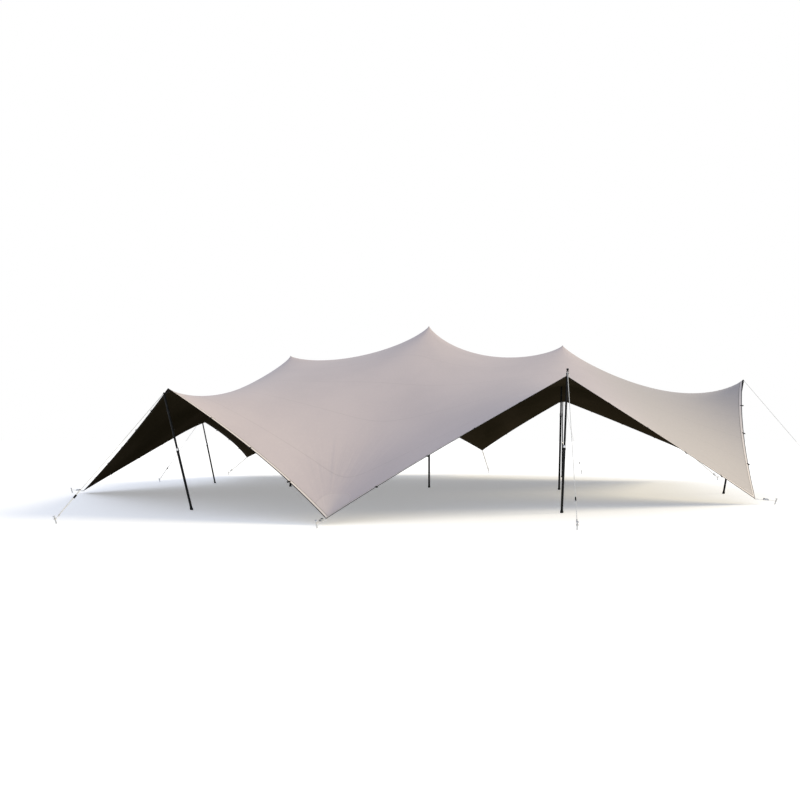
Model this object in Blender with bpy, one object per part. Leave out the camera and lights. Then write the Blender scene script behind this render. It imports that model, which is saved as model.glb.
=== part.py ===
"""Stretch tent: one sheet of stretch fabric pulled over three centre poles and six side poles,
and held down by six anchor straps and six guy ropes. Metres, +Z up. The origin is on the ground
under the middle centre pole, +X runs along the ridge and +Y away from the open front."""
import bpy
import numpy as np

# Where the fabric is held, across, away and up.
CENTRE_PEAKS = {
    "left_centre": (-4.82, -0.62, 4.58),
    "middle_centre": (0.00, 0.00, 5.55),
    "right_centre": (4.45, -0.03, 4.74),
}
SIDE_PEAKS = {
    "front_left": (-3.98, -9.64, 2.76),
    "front_right": (4.46, -7.72, 3.03),
    "right_end": (9.73, -0.63, 3.44),
    "back_right": (4.54, 8.09, 3.38),
    "back_left": (-3.69, 7.85, 3.65),
    "left_end": (-8.82, 0.50, 2.35),
}
ANCHORS = {
    "front_left_corner": (-9.90, -4.78, 0.07),
    "front_middle": (-0.07, -10.49, 0.13),
    "front_right_corner": (9.17, -4.06, 0.14),
    "back_right_corner": (9.34, 5.75, 1.14),
    "back_middle": (0.88, 8.96, 1.13),
    "back_left_corner": (-9.40, 5.47, 0.83),
}
# Where the poles stand. The other centre poles stand straight under their peaks.
LEANING_CENTRE_FEET = {"right_centre": (4.34, -0.06)}
SIDE_FEET = {
    "front_left": (-4.07, -8.50),
    "front_right": (4.36, -7.22),
    "right_end": (9.20, -0.60),
    "back_right": (4.50, 7.50),
    "back_left": (-3.65, 7.20),
    "left_end": (-8.30, 0.48),
}
# How far beside its peak, towards the hem's start, a side pole meets the hem. Some have no knob
# above the hem: they end in a bare neck beside it, drawn down from where the others stand.
HEAD_BESIDE_PEAK = {"front_left": 0.28}
BARE_NECK_DRAWN_DOWN = {"front_left": 0.105, "right_end": 0.105}
# Each pin's place on the flat sheet, as shares of its half length and half width.
SHEET_PINS = {
    "left_centre": (-0.55, 0),
    "middle_centre": (-0.05, 0),
    "right_centre": (0.5, 0),
    "front_left_corner": (-1, -1),
    "front_left": (-0.5, -1),
    "front_middle": (0, -1),
    "front_right": (0.5, -1),
    "front_right_corner": (1, -1),
    "right_end": (1, 0),
    "back_right_corner": (1, 1),
    "back_right": (0.5, 1),
    "back_middle": (0, 1),
    "back_left": (-0.5, 1),
    "back_left_corner": (-1, 1),
    "left_end": (-1, 0),
}

# The sheet as it was cut, and how it pulls. Stiffness is per metre of width, the hem tape's in all.
SHEET_LENGTH = 19.5
SHEET_WIDTH = 15.85
SHEET_THICKNESS = 0.008
LENGTHWISE_STIFFNESS = 0.282
HEM_TAPE_STIFFNESS = 19.7
LEAST_STRETCH = 0.413
PEAK_REINFORCEMENT = 24.8
REINFORCEMENT_REACH = 0.528
COLUMNS = 40
ROWS = 24

# Poles: black tubes in two lengths, with a collar on top of the lower one and a rubber foot.
GAP = 0.0003
POLE_SIDES = 12
CENTRE_LOWER_RADIUS = 0.033
CENTRE_UPPER_RADIUS = 0.028
CENTRE_LOWER_LENGTH = 2.50
SIDE_LOWER_RADIUS = 0.028
SIDE_UPPER_RADIUS = 0.023
SIDE_LOWER_LENGTH = 1.55
COLLAR_PROUD = 0.006
COLLAR_LENGTH = 0.07
FOOT_PROUD = 0.010
FOOT_HEIGHT = 0.035
FOOT_TAPER_END = 0.065
PEAK_HEAD_RADIUS = 0.09
PEAK_HEAD_TIP_RADIUS = 0.001
PEAK_HEAD_RIM = 0.015
PEAK_HEAD_SLOPE_MARGIN = 1.5

# The side pole's head above the hem: flange, neck for the guy rope, and knob.
FLANGE_START = 0.045
FLANGE_END = 0.057
NECK_END = 0.120
KNOB_END = 0.150
HEAD_TOP = 0.165
FLANGE_RADIUS = 0.033
NECK_RADIUS = 0.014
KNOB_RADIUS = 0.026
KNOB_TOP_RADIUS = 0.016
GUY_TIE_HEIGHT = 0.095

# Guy ropes, anchor straps and stakes.
ROPE_RADIUS = 0.006
ROPE_SIDES = 8
STRAP_WIDTH = 0.050
STRAP_THICKNESS = 0.004
GUY_REACH_PER_HEIGHT = 0.75
LONGER_GUY_REACHES = {"front_left": 0.85}
GUY_HEADINGS = {"front_right": (0.056, -1.0, 0.0)}
ANCHOR_REACH_AT_GROUND = 0.30
ANCHOR_REACH_PER_HEIGHT = 1.10
STAKE_RADIUS = 0.014
STAKE_HEAD_RADIUS = 0.028
STAKE_HEIGHT = 0.16
STAKE_LEAN = 0.05
STAKE_HEAD_THICKNESS = 0.015
STAKE_TIE_HEIGHT = 0.10

UP = np.array((0.0, 0.0, 1.0))


def unit(vector):
    return vector / np.linalg.norm(vector)


def level(vector):
    """The vector's direction in plan."""
    return unit(vector * (1, 1, 0))


def make_material(name, colour, roughness, metallic=0.0):
    made = bpy.data.materials.new(name)
    made.use_nodes = True
    shader = made.node_tree.nodes["Principled BSDF"]
    shader.inputs["Base Color"].default_value = (*colour, 1.0)
    shader.inputs["Roughness"].default_value = roughness
    shader.inputs["Metallic"].default_value = metallic
    return made


def add_solid(name, points, faces, finish):
    mesh = bpy.data.meshes.new(name)
    mesh.from_pydata(points.tolist(), [], faces)
    mesh.shade_smooth()
    mesh.set_sharp_from_angle(angle=0.6)
    mesh.materials.append(finish)
    bpy.context.collection.objects.link(bpy.data.objects.new(name, mesh))


def loft(name, rings, facing, finish, sides):
    """A closed solid through rings of (centre, axis, radius), with a corner of each ring turned
    towards the direction facing."""
    angles = np.arange(sides) / sides * 2 * np.pi
    points = []
    for centre, axis, radius in rings:
        first = unit(facing - axis * (facing @ axis))
        second = np.cross(axis, first)
        points.append(centre + radius * (np.outer(np.cos(angles), first) + np.outer(np.sin(angles), second)))
    faces = [list(range(sides))[::-1]]
    for ring in range(len(rings) - 1):
        for side in range(sides):
            here, there = ring * sides + side, ring * sides + (side + 1) % sides
            faces.append([here, there, there + sides, here + sides])
    faces.append(list(range((len(rings) - 1) * sides, len(rings) * sides)))
    add_solid(name, np.concatenate(points), faces, finish)


def held_points():
    return {**CENTRE_PEAKS, **SIDE_PEAKS, **ANCHORS}


def grid_place(name, columns, rows):
    along, across = SHEET_PINS[name]
    return round((along + 1) / 2 * columns), round((across + 1) / 2 * rows)


def flat_sheet(columns, rows):
    """The nodes of the sheet laid flat, centred on the origin."""
    along = np.linspace(-0.5, 0.5, columns + 1) * SHEET_LENGTH
    across = np.linspace(-0.5, 0.5, rows + 1) * SHEET_WIDTH
    return np.stack(np.meshgrid(along, across, indexing="ij"), axis=-1)


def first_guess(columns, rows):
    """Each node at the mean of the held points, weighted by nearness on the flat sheet."""
    flat = flat_sheet(columns, rows)
    pins = np.array([SHEET_PINS[name] for name in held_points()]) / 2 * (SHEET_LENGTH, SHEET_WIDTH)
    apart = np.linalg.norm(flat[:, :, None] - pins, axis=-1) + 0.03
    weights = apart**-3
    weights /= weights.sum(axis=-1, keepdims=True)
    return weights @ np.array(list(held_points().values()))


def refined(points, columns, rows):
    """The same surface on a finer grid, straight between the old nodes."""
    for count in (columns, rows):
        old = len(points) - 1
        places = np.linspace(0, old, count + 1)
        below = np.minimum(places.astype(int), old - 1)
        share = (places - below)[:, None, None]
        points = (points[below] * (1 - share) + points[below + 1] * share).swapaxes(0, 1)
    return points


def pulls(points, side, width, stiffness):
    """Force over length in the net's lines along the first axis: each line pulls with the stretch
    of its strip of fabric, and the two edge lines with half a strip and the hem tape."""
    lengths = np.maximum(np.linalg.norm(points[1:] - points[:-1], axis=-1), GAP)
    stretch = np.maximum(1 / side - 1 / lengths, LEAST_STRETCH / side)
    strips = stretch * width * stiffness
    strips[:, (0, -1)] = strips[:, (0, -1)] / 2 + HEM_TAPE_STIFFNESS * stretch[:, (0, -1)]
    return strips


def relaxed(points, rounds, sweeps):
    """Moves the free nodes until the pulls on each balance. Every round works the pulls out
    again from the stretch, and every sweep moves all nodes towards balance with some momentum."""
    columns, rows = points.shape[0] - 1, points.shape[1] - 1
    flat = flat_sheet(columns, rows)
    side_along, side_across = SHEET_LENGTH / columns, SHEET_WIDTH / rows
    held = np.zeros(points.shape[:2], bool)
    stiffness = np.ones(points.shape[:2])
    for name, place in held_points().items():
        node = grid_place(name, columns, rows)
        held[node] = True
        points[node] = place
        if name in CENTRE_PEAKS:
            apart = np.linalg.norm(flat - flat[node], axis=-1)
            stiffness += PEAK_REINFORCEMENT * np.exp(-apart / REINFORCEMENT_REACH)
    for _ in range(rounds):
        between = (stiffness[1:] + stiffness[:-1]) / 2 * LENGTHWISE_STIFFNESS
        along = pulls(points, side_along, side_across, between)[..., None]
        between = (stiffness[:, 1:] + stiffness[:, :-1]).T / 2
        across = pulls(points.swapaxes(0, 1), side_across, side_along, between).T[..., None]
        total = np.zeros((columns + 1, rows + 1, 1))
        total[1:] += along
        total[:-1] += along
        total[:, 1:] += across
        total[:, :-1] += across
        move = np.zeros_like(points)
        for _ in range(sweeps):
            force = np.zeros_like(points)
            tug = (points[1:] - points[:-1]) * along
            force[:-1] += tug
            force[1:] -= tug
            tug = (points[:, 1:] - points[:, :-1]) * across
            force[:, :-1] += tug
            force[:, 1:] -= tug
            move = 0.93 * move + force / total
            move[held] = 0
            points = points + 0.5 * move
    return points


def stretched_sheet():
    """The middle surface of the rigged sheet, found on a coarse net first."""
    points = relaxed(first_guess(COLUMNS // 2, ROWS // 2), rounds=8, sweeps=150)
    return relaxed(refined(points, COLUMNS, ROWS), rounds=6, sweeps=200)


def both_skins(middle):
    """The upper and the lower skin, half the thickness either side of the middle surface."""
    normal = np.cross(np.gradient(middle, axis=0), np.gradient(middle, axis=1))
    normal /= np.linalg.norm(normal, axis=-1, keepdims=True)
    offset = normal * SHEET_THICKNESS / 2
    return middle + offset, middle - offset


def build_canopy(upper, lower, finish):
    """The sheet as one closed solid of triangles, cut the same way on both skins."""
    columns, rows = COLUMNS + 1, ROWS + 1
    index = np.arange(columns * rows).reshape(columns, rows)
    corners = [index[:-1, :-1], index[1:, :-1], index[1:, 1:], index[:-1, 1:]]
    first, second, third, fourth = (corner.ravel() for corner in corners)
    top = np.concatenate([np.stack([first, second, third], 1), np.stack([first, third, fourth], 1)])
    bottom = top[:, ::-1] + index.size
    edge = np.concatenate([index[:-1, 0], index[-1, :-1], index[:0:-1, -1], index[0, :0:-1]])
    ahead = np.roll(edge, -1)
    rim = np.concatenate(
        [
            np.stack([edge, edge + index.size, ahead], 1),
            np.stack([ahead, edge + index.size, ahead + index.size], 1),
        ]
    )
    points = np.concatenate([upper.reshape(-1, 3), lower.reshape(-1, 3)])
    add_solid("canopy", points, np.concatenate([top, bottom, rim]).tolist(), finish)


def lower_tube(name, foot, axis, radius, length, facing, finish):
    """A tube with a level rubber foot below and a collar at its upper end."""
    rings = [
        (foot, UP, radius + FOOT_PROUD),
        (foot + axis * FOOT_HEIGHT / axis[2], UP, radius + FOOT_PROUD),
        (foot + axis * FOOT_TAPER_END, axis, radius),
        (foot + axis * (length - COLLAR_LENGTH), axis, radius),
        (foot + axis * (length - COLLAR_LENGTH + COLLAR_PROUD), axis, radius + COLLAR_PROUD),
        (foot + axis * length, axis, radius + COLLAR_PROUD),
    ]
    loft(f"{name}_pole_lower", rings, facing, finish, POLE_SIDES)


def build_centre_pole(name, lower, finish):
    """A straight pole whose cone-shaped head carries the peak from below, steeper than the fabric."""
    column, row = grid_place(name, COLUMNS, ROWS)
    peak = lower[column, row]
    around = lower[column - 1 : column + 2, row - 1 : row + 2].reshape(-1, 3)
    around = np.delete(around, 4, axis=0)
    fall = (peak[2] - around[:, 2]) / np.linalg.norm((around - peak)[:, :2], axis=-1)
    slope = fall.max() * PEAK_HEAD_SLOPE_MARGIN
    foot = np.array((*LEANING_CENTRE_FEET.get(name, peak[:2]), 0.0))
    axis = unit(peak - foot)
    facing = np.array((0.0, -1.0, 0.0))
    lower_tube(name, foot, axis, CENTRE_LOWER_RADIUS, CENTRE_LOWER_LENGTH, facing, finish)
    tip = np.linalg.norm(peak - foot) - PEAK_HEAD_TIP_RADIUS * slope - GAP
    rim = tip - (PEAK_HEAD_RADIUS - PEAK_HEAD_TIP_RADIUS) * slope
    distances_and_radii = [
        (CENTRE_LOWER_LENGTH + GAP, CENTRE_UPPER_RADIUS),
        (rim - PEAK_HEAD_RADIUS, CENTRE_UPPER_RADIUS),
        (rim - PEAK_HEAD_RIM, PEAK_HEAD_RADIUS),
        (rim, PEAK_HEAD_RADIUS),
        (tip, PEAK_HEAD_TIP_RADIUS),
    ]
    rings = [(foot + axis * distance, axis, radius) for distance, radius in distances_and_radii]
    loft(f"{name}_pole_upper", rings, facing, finish, POLE_SIDES)


def line_to_edge(foot, axis, start, end):
    """The least distance from the line up a pole to a straight edge."""
    first, change = np.cross(start - foot, axis), np.cross(end - start, axis)
    share = np.clip(-(first @ change) / (change @ change), 0, 1)
    return np.linalg.norm(first + change * share)


def side_pole_line(name, upper, lower):
    """The foot and direction of a side pole that just clears the hem from outside, the distance up
    it that its head is measured from, and the direction away from the sheet at its peak."""
    column, row = grid_place(name, COLUMNS, ROWS)
    step = (1, 0) if row in (0, ROWS) else (0, 1)
    before, here, after = ((column + turn * step[0], row + turn * step[1]) for turn in (-1, 0, 1))
    foot = np.array((*SIDE_FEET[name], 0.0))
    pin = np.array(SIDE_PEAKS[name])
    outward = level(np.cross(upper[after] - upper[before], UP))
    outward = outward * np.sign(outward @ (pin - foot))
    hem = unit(upper[before] - upper[here])
    meeting = pin + hem * HEAD_BESIDE_PEAK.get(name, 0.0)
    away = outward
    if name in HEAD_BESIDE_PEAK:
        away = level(np.cross(hem, UP))
        away = away * np.sign(away @ outward)
    at_hem = NECK_RADIUS if name in BARE_NECK_DRAWN_DOWN else SIDE_UPPER_RADIUS
    clear = at_hem
    for _ in range(8):
        axis = unit(meeting + away * clear - foot)
        edges = [(skin[here], skin[end]) for skin in (upper, lower) for end in (before, after)]
        nearest = min(line_to_edge(foot, axis, start, end) for start, end in edges)
        clear += at_hem + GAP - nearest
    return foot, axis, (meeting - foot) @ axis - BARE_NECK_DRAWN_DOWN.get(name, 0.0), outward


def build_side_pole(name, upper, lower, finish):
    """A leaning pole with its head above the hem. Returns where the guy rope ties on, the pole's
    axis and outward."""
    foot, axis, hem, outward = side_pole_line(name, upper, lower)
    lower_tube(name, foot, axis, SIDE_LOWER_RADIUS, SIDE_LOWER_LENGTH, outward, finish)
    distances_and_radii = [
        (SIDE_LOWER_LENGTH + GAP, SIDE_UPPER_RADIUS),
        (hem + FLANGE_START, SIDE_UPPER_RADIUS),
        (hem + FLANGE_START, FLANGE_RADIUS),
        (hem + FLANGE_END, FLANGE_RADIUS),
        (hem + FLANGE_END, NECK_RADIUS),
        (hem + NECK_END, NECK_RADIUS),
    ]
    if name not in BARE_NECK_DRAWN_DOWN:
        distances_and_radii += [
            (hem + NECK_END, KNOB_RADIUS),
            (hem + KNOB_END, KNOB_RADIUS),
            (hem + HEAD_TOP, KNOB_TOP_RADIUS),
        ]
    rings = [(foot + axis * distance, axis, radius) for distance, radius in distances_and_radii]
    loft(f"{name}_pole_upper", rings, outward, finish, POLE_SIDES)
    return foot + axis * (hem + GUY_TIE_HEIGHT), axis, outward


def build_stake(name, ground, outward, finish):
    """A steel pin that leans outward. Returns the point of its axis where a stay ties on, and the
    axis."""
    axis = unit(UP * STAKE_HEIGHT + outward * STAKE_LEAN)
    top = ground + axis * STAKE_HEIGHT / axis[2]
    rings = [
        (ground, UP, STAKE_RADIUS),
        (ground + axis * STAKE_RADIUS, axis, STAKE_RADIUS),
        (top - axis * STAKE_HEAD_THICKNESS, axis, STAKE_RADIUS),
        (top - axis * STAKE_HEAD_THICKNESS, axis, STAKE_HEAD_RADIUS),
        (top, axis, STAKE_HEAD_RADIUS),
    ]
    loft(f"{name}_stake", rings, outward, finish, ROPE_SIDES)
    return ground + axis * STAKE_TIE_HEIGHT, axis


def end_on_bar(tie, axis, toward, radius, along, half):
    """The middle of a stay's square end that just clears a round bar, on the bar's side towards
    the given direction. half is the end's half height, and along the stay's direction."""
    normal = unit(toward - axis * (toward @ axis))
    tall = unit(np.cross(np.cross(along, UP), along))
    return tie + normal * (radius + half * abs(tall @ normal) + GAP)


def build_guy(name, tie, pole_axis, outward, finishes):
    """A taut rope from a side pole's neck to its stake."""
    reach = LONGER_GUY_REACHES.get(name, GUY_REACH_PER_HEIGHT)
    ground = (tie + outward * tie[2] * reach) * (1, 1, 0)
    stake, stake_axis = build_stake(f"{name}_guy", ground, outward, finishes["stake"])
    along = unit(stake - tie)
    start = end_on_bar(tie, pole_axis, outward, NECK_RADIUS, along, ROPE_RADIUS)
    end = end_on_bar(stake, stake_axis, -outward, STAKE_RADIUS, along, ROPE_RADIUS)
    along = unit(end - start)
    rings = [(start, along, ROPE_RADIUS), (end, along, ROPE_RADIUS)]
    loft(f"{name}_guy_rope", rings, outward, finishes["rope"], ROPE_SIDES)


def build_anchor(name, upper, lower, finishes):
    """A flat strap from a low point of the hem to its stake."""
    column, row = grid_place(name, COLUMNS, ROWS)
    corner = (upper[column, row] + lower[column, row]) / 2
    inner = (upper + lower)[np.clip(column, 1, COLUMNS - 1), np.clip(row, 1, ROWS - 1)] / 2
    outward = level(corner - inner)
    reach = ANCHOR_REACH_AT_GROUND + ANCHOR_REACH_PER_HEIGHT * corner[2]
    ground = (corner + outward * reach) * (1, 1, 0)
    stake, stake_axis = build_stake(f"{name}_anchor", ground, outward, finishes["stake"])
    along = unit(stake - corner)
    past_corner = max((skin[column, row] - corner) @ along for skin in (upper, lower))
    start = corner + along * (past_corner + GAP)
    end = end_on_bar(stake, stake_axis, -outward, STAKE_RADIUS, along, STRAP_THICKNESS / 2)
    along = unit(end - start)
    across = unit(np.cross(along, UP)) * STRAP_WIDTH / 2
    thick = unit(np.cross(along, across)) * STRAP_THICKNESS / 2
    section = np.array([across + thick, thick - across, -across - thick, across - thick])
    points = np.concatenate([start + section, end + section])
    sides = [[side, (side + 1) % 4, (side + 1) % 4 + 4, side + 4] for side in range(4)]
    faces = [[3, 2, 1, 0], *sides, [4, 5, 6, 7]]
    add_solid(f"{name}_strap", points, faces, finishes["strap"])


def build_tent():
    for old in list(bpy.data.objects):
        bpy.data.objects.remove(old)
    finishes = {
        "fabric": make_material("stretch_fabric", (0.52, 0.47, 0.46), 0.75),
        "pole": make_material("black_pole", (0.012, 0.012, 0.013), 0.45, 0.3),
        "rope": make_material("pale_rope", (0.70, 0.70, 0.68), 0.8),
        "strap": make_material("pale_webbing", (0.62, 0.60, 0.57), 0.8),
        "stake": make_material("steel_stake", (0.45, 0.46, 0.47), 0.4, 0.9),
    }
    upper, lower = both_skins(stretched_sheet())
    build_canopy(upper, lower, finishes["fabric"])
    for name in CENTRE_PEAKS:
        build_centre_pole(name, lower, finishes["pole"])
    for name in SIDE_PEAKS:
        tie, axis, outward = build_side_pole(name, upper, lower, finishes["pole"])
        build_guy(name, tie, axis, unit(np.array(GUY_HEADINGS.get(name, outward))), finishes)
    for name in ANCHORS:
        build_anchor(name, upper, lower, finishes)


build_tent()
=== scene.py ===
"""Stretch tent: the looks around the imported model. Metres, +Z up, the origin on the ground under
the middle centre pole. The sheet is relaxed again on a finer net, and every pole, rope, strap and
stake is made anew along the line of its solid. Each shape is a grid of points worked out with
numpy: a surface over the flat sheet, or a profile carried along a path."""

import bpy
import numpy as np
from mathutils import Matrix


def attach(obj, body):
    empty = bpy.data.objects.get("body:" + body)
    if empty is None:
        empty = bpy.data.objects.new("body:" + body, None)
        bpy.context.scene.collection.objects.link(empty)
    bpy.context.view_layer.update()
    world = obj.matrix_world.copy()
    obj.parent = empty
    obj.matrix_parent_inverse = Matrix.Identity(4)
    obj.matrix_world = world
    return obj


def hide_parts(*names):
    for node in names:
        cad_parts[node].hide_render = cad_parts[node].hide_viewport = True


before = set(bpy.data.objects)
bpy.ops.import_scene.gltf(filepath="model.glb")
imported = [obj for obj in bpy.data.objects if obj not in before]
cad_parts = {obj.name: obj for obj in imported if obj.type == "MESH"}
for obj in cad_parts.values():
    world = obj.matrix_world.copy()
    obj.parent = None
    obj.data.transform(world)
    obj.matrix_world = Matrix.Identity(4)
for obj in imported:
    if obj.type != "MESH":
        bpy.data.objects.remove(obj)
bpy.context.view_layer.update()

# Where the fabric is held, across, away and up.
CENTRE_PEAKS = {
    "left_centre": (-4.82, -0.62, 4.58),
    "middle_centre": (0.00, 0.00, 5.55),
    "right_centre": (4.45, -0.03, 4.74),
}
SIDE_PEAKS = {
    "front_left": (-3.98, -9.64, 2.76),
    "front_right": (4.46, -7.72, 3.03),
    "right_end": (9.73, -0.63, 3.44),
    "back_right": (4.54, 8.09, 3.38),
    "back_left": (-3.69, 7.85, 3.65),
    "left_end": (-8.82, 0.50, 2.35),
}
ANCHORS = {
    "front_left_corner": (-9.90, -4.78, 0.07),
    "front_middle": (-0.07, -10.49, 0.13),
    "front_right_corner": (9.17, -4.06, 0.14),
    "back_right_corner": (9.34, 5.75, 1.14),
    "back_middle": (0.88, 8.96, 1.13),
    "back_left_corner": (-9.40, 5.47, 0.83),
}
# Each pin's place on the flat sheet, as shares of its half length and half width.
SHEET_PINS = {
    "left_centre": (-0.55, 0),
    "middle_centre": (-0.05, 0),
    "right_centre": (0.5, 0),
    "front_left_corner": (-1, -1),
    "front_left": (-0.5, -1),
    "front_middle": (0, -1),
    "front_right": (0.5, -1),
    "front_right_corner": (1, -1),
    "right_end": (1, 0),
    "back_right_corner": (1, 1),
    "back_right": (0.5, 1),
    "back_middle": (0, 1),
    "back_left": (-0.5, 1),
    "back_left_corner": (-1, 1),
    "left_end": (-1, 0),
}

# The sheet as it was cut, and how it pulls.
SHEET_LENGTH = 19.5
SHEET_WIDTH = 15.85
SHEET_THICKNESS = 0.003
LENGTHWISE_STIFFNESS = 0.282
HEM_TAPE_STIFFNESS = 19.7
LEAST_STRETCH = 0.413
PEAK_REINFORCEMENT = 24.8
REINFORCEMENT_REACH = 0.528
CONE_REACH = 0.9
SHORTEST_LINE = 0.0003

# The nets that it is relaxed on, from coarse to fine, and how their nodes move.
NETS = ((20, 12), (40, 24), (120, 72), (240, 144))
ROUNDS = (8, 6, 4, 4)
SWEEPS = (150, 200, 120, 120)
MOMENTUM = 0.93
STEP = 0.5

# What shows on the sheet: welded panels, the doubled hem, patches, and creases from the pins. The
# shares say how strongly the others show beside the hem.
PANEL_WIDTH = 1.45
WELD_WIDTH = 0.018
HEM_BAND = 0.085
PATCH_RADIUS = 0.38
SOFT_EDGE = 0.004
STITCH_INSET = 0.006
HEM_THREAD_WIDTH = 0.012
PATCH_THREAD_WIDTH = 0.004
PATCH_SHARE = 0.15
SPECK_SHARE = 0.15
PATCH_THREAD_SHARE = 0.3
WELD_SHARE = 0.12
LAYER_RELIEF = 0.003
KNIT_RELIEF = 0.0004
# Where the right end's painted shade ramps in: a darker, yellower tone for how that end is lit.
RIGHT_END_SHADE_RAMP = (5.2, 7.6)
CREASE_REACH = 2.4
CREASES_ROUND = 9.0
CREASE_DRIFT = 0.4
PIN_SHIFT = 13.0
SHARP_ANGLE = 1.2
HEM_TAPE_GIRTH = 0.08
LOOP_SPACING = 1.3
LOOP_WIDTH = 0.028

# The poles' sizes, as in their solids, with the radii of the lower and of the upper length. A
# centre pole's head narrows through the rings, and two side poles end in a bare neck at the hem.
CENTRE_RADII = (0.033, 0.028)
SIDE_RADII = (0.028, 0.023)
OVERLAP = 0.04
HEAD_RINGS = (0.075, 0.060, 0.045, 0.030, 0.018, 0.002)
HEAD_CLEARANCE = 0.005
RING_MARGIN = 0.01
BARE_NECKS = ("front_left", "right_end")
BARE_HEAD = 0.076
KNOB_HEAD = 0.121
NECK_RADIUS = 0.014

# The stays' sizes. Knots, slides and ratchets are placed from the stake, and rings from the hem.
ROPE_RADIUS = 0.006
ROPE_SINK = 0.0005
COIL_POINTS = 20
COIL_CLIMB = 1.95
KNOT_PLACE = 0.09
SLIDE_PLACE = 0.55
STRAP_WIDTH = 0.050
STRAP_PLY = 0.0011
RING_PLACE = 0.05
RING_RADIUS = 0.038
RING_WIRE = 0.005
RATCHET_PLACE = 0.22
TIE_WIDTH = 0.016
TIE_SPREAD = 0.09
TIE_SEAM = 0.07
BAND_DROP = 0.016
LEG_BOW = 2.5
STAKE_RADIUS = 0.014

# How many corners a ring of each kind of solid has.
POLE_SIDES = 12
STAY_SIDES = 8
STRAP_SIDES = 4

# The places of the finishes in the poles' pieces, in the guy ropes' and in the straps'.
PAINT, RUBBER, BRIGHT = range(3)
ROPE, SLEEVE = range(2)
WEB, STEEL, GRIP = range(3)

# The photograph's camera.
CAMERA_PLACE = (4.22, -22.81, 1.652)
CAMERA_TURN = 0.226
FOCAL_SHARE = 0.8443
HORIZON_DROP = 0.0492

UP = np.array((0.0, 0.0, 1.0))


def unit(vectors):
    return vectors / np.linalg.norm(vectors, axis=-1, keepdims=True)


# The net


def held_points():
    return {**CENTRE_PEAKS, **SIDE_PEAKS, **ANCHORS}


def grid_place(name, columns, rows):
    along, across = SHEET_PINS[name]
    return round((along + 1) / 2 * columns), round((across + 1) / 2 * rows)


def flat_places(names):
    """The named pins on the flat sheet, in metres from its middle."""
    return np.array([SHEET_PINS[name] for name in names]) / 2 * (SHEET_LENGTH, SHEET_WIDTH)


def flat_sheet(columns, rows):
    """The nodes of the sheet laid flat, centred on the origin."""
    along = np.linspace(-0.5, 0.5, columns + 1) * SHEET_LENGTH
    across = np.linspace(-0.5, 0.5, rows + 1) * SHEET_WIDTH
    return np.stack(np.meshgrid(along, across, indexing="ij"), axis=-1)


def first_guess(columns, rows):
    """Each node at the mean of the held points, weighted by nearness on the flat sheet."""
    apart = np.linalg.norm(flat_sheet(columns, rows)[:, :, None] - flat_places(held_points()), axis=-1)
    weights = (apart + 0.03) ** -3
    weights /= weights.sum(axis=-1, keepdims=True)
    return weights @ np.array(list(held_points().values()))


def refined(points, columns, rows):
    """The same surface on a finer grid, straight between the old nodes."""
    for count in (columns, rows):
        old = len(points) - 1
        places = np.linspace(0, old, count + 1)
        below = np.minimum(places.astype(int), old - 1)
        share = (places - below)[:, None, None]
        points = (points[below] * (1 - share) + points[below + 1] * share).swapaxes(0, 1)
    return points


def pulls(points, side, width, stiffness):
    """Force over length in the net's lines along the first axis: each line pulls with the stretch
    of its strip of fabric, and the two edge lines with half a strip and the hem tape."""
    lengths = np.maximum(np.linalg.norm(points[1:] - points[:-1], axis=-1), SHORTEST_LINE)
    stretch = np.maximum(1 / side - 1 / lengths, LEAST_STRETCH / side)
    strips = stretch * width * stiffness
    strips[:, (0, -1)] = strips[:, (0, -1)] / 2 + HEM_TAPE_STIFFNESS * stretch[:, (0, -1)]
    return strips


def relaxed(points, rounds, sweeps):
    """Moves the free nodes until the pulls on each balance. Near a centre pole the stiffness grows
    as one over the distance, down to the net's spacing, so that the peak ends in a cone."""
    columns, rows = points.shape[0] - 1, points.shape[1] - 1
    flat = flat_sheet(columns, rows)
    side_along, side_across = SHEET_LENGTH / columns, SHEET_WIDTH / rows
    held = np.zeros(points.shape[:2], bool)
    stiffness = np.ones(points.shape[:2])
    for name, place in held_points().items():
        node = grid_place(name, columns, rows)
        held[node] = True
        points[node] = place
        if name in CENTRE_PEAKS:
            apart = np.linalg.norm(flat - flat[node], axis=-1)
            cone = np.maximum(1, CONE_REACH / (apart + side_along))
            stiffness += PEAK_REINFORCEMENT * np.exp(-apart / REINFORCEMENT_REACH) * cone
    for _ in range(rounds):
        between = (stiffness[1:] + stiffness[:-1]) / 2 * LENGTHWISE_STIFFNESS
        along = pulls(points, side_along, side_across, between)[..., None]
        between = (stiffness[:, 1:] + stiffness[:, :-1]).T / 2
        across = pulls(points.swapaxes(0, 1), side_across, side_along, between).T[..., None]
        total = np.zeros((columns + 1, rows + 1, 1))
        total[1:] += along
        total[:-1] += along
        total[:, 1:] += across
        total[:, :-1] += across
        move = np.zeros_like(points)
        for _ in range(sweeps):
            force = np.zeros_like(points)
            tug = (points[1:] - points[:-1]) * along
            force[:-1] += tug
            force[1:] -= tug
            tug = (points[:, 1:] - points[:, :-1]) * across
            force[:, :-1] += tug
            force[:, 1:] -= tug
            move = MOMENTUM * move + force / total
            move[held] = 0
            points = points + STEP * move
    return points


def rigged_sheet():
    """The sheet's middle surface, found on ever finer nets."""
    points = first_guess(*NETS[0])
    for net, rounds, sweeps in zip(NETS, ROUNDS, SWEEPS):
        points = relaxed(refined(points, *net), rounds, sweeps)
    return points


# Materials


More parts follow.
